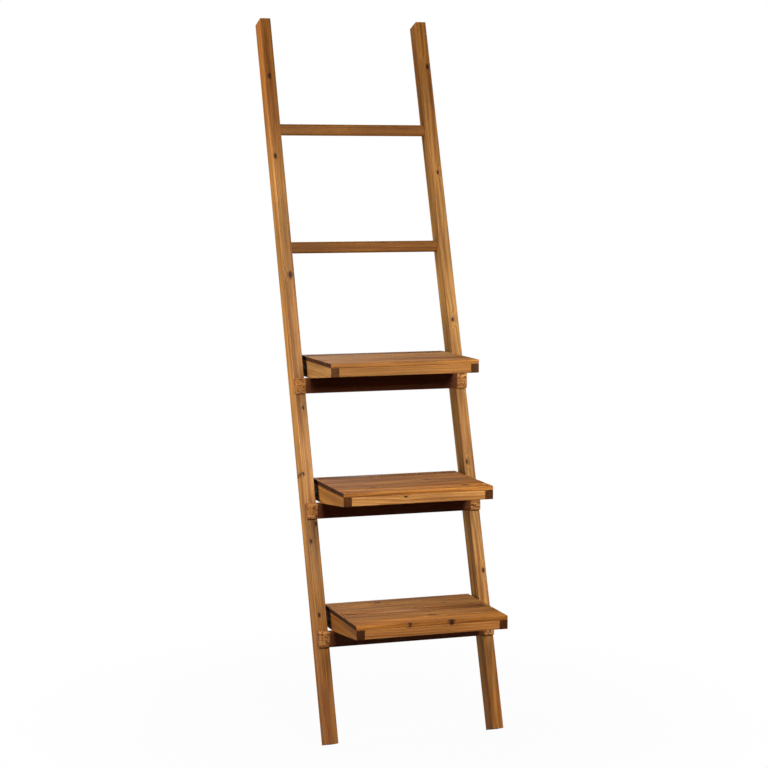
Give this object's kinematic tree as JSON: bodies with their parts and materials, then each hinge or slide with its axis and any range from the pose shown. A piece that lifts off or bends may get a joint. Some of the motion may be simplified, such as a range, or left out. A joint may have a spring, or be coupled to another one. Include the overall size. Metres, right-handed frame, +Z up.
{
  "type": "ladder shelf",
  "caption": "Leaning wooden ladder shelf: two stiles joined by rungs, with slatted trays on support bars that fold up between the stiles.",
  "frame": {"origin": "on the floor, at the middle of the shelf's footprint box", "axes": "+Z up, -Y towards the user in front of the trays, +X towards the right stile"},
  "size_m": [0.44, 0.7246, 1.7247],
  "materials": {
    "frame_pine": "stained pine, satin",
    "tray_pine": "stained pine, satin",
    "slat_pine": "stained pine, satin",
    "dowel_beech": "plain beech",
    "zinc_steel": "bright zinc",
    "nylon": "black nylon"
  },
  "bodies": {
    "ladder_frame": {"left_stile": "frame_pine", "right_stile": "frame_pine", "upper_rung": "frame_pine", "lower_rung": "frame_pine", "bottom_support_bar": "frame_pine", "middle_support_bar": "frame_pine", "top_support_bar": "frame_pine", "support_bar_screws": "zinc_steel", "pivot_screws": "zinc_steel", "pivot_washers": "zinc_steel", "pivot_spacers": "nylon"},
    "bottom_tray": {"bottom_tray_slat_1": "slat_pine", "bottom_tray_slat_2": "slat_pine", "bottom_tray_slat_3": "slat_pine", "bottom_tray_slat_4": "slat_pine", "bottom_tray_slat_5": "slat_pine", "bottom_tray_left_rail": "tray_pine", "bottom_tray_right_rail": "tray_pine", "bottom_tray_front_rail": "tray_pine", "bottom_tray_back_rail": "tray_pine", "bottom_tray_dowels": "dowel_beech", "bottom_tray_brads": "zinc_steel"},
    "middle_tray": {"middle_tray_slat_1": "slat_pine", "middle_tray_slat_2": "slat_pine", "middle_tray_slat_3": "slat_pine", "middle_tray_slat_4": "slat_pine", "middle_tray_slat_5": "slat_pine", "middle_tray_left_rail": "tray_pine", "middle_tray_right_rail": "tray_pine", "middle_tray_front_rail": "tray_pine", "middle_tray_back_rail": "tray_pine", "middle_tray_dowels": "dowel_beech", "middle_tray_brads": "zinc_steel"},
    "top_tray": {"top_tray_slat_1": "slat_pine", "top_tray_slat_2": "slat_pine", "top_tray_slat_3": "slat_pine", "top_tray_slat_4": "slat_pine", "top_tray_slat_5": "slat_pine", "top_tray_left_rail": "tray_pine", "top_tray_right_rail": "tray_pine", "top_tray_front_rail": "tray_pine", "top_tray_back_rail": "tray_pine", "top_tray_dowels": "dowel_beech", "top_tray_brads": "zinc_steel"}
  },
  "joints": [
    {"name": "bottom_tray_fold", "type": "hinge", "parent": "ladder_frame", "child": "bottom_tray", "pos_m": [0, -0.14335, 0.2865], "axis": [-1, 0, 0], "range_deg": [0, 108]},
    {"name": "middle_tray_fold", "type": "hinge", "parent": "ladder_frame", "child": "middle_tray", "pos_m": [0, -0.04744, 0.5765], "axis": [-1, 0, 0], "range_deg": [0, 108]},
    {"name": "top_tray_fold", "type": "hinge", "parent": "ladder_frame", "child": "top_tray", "pos_m": [0, 0.04847, 0.8665], "axis": [-1, 0, 0], "range_deg": [0, 108]}
  ]
}
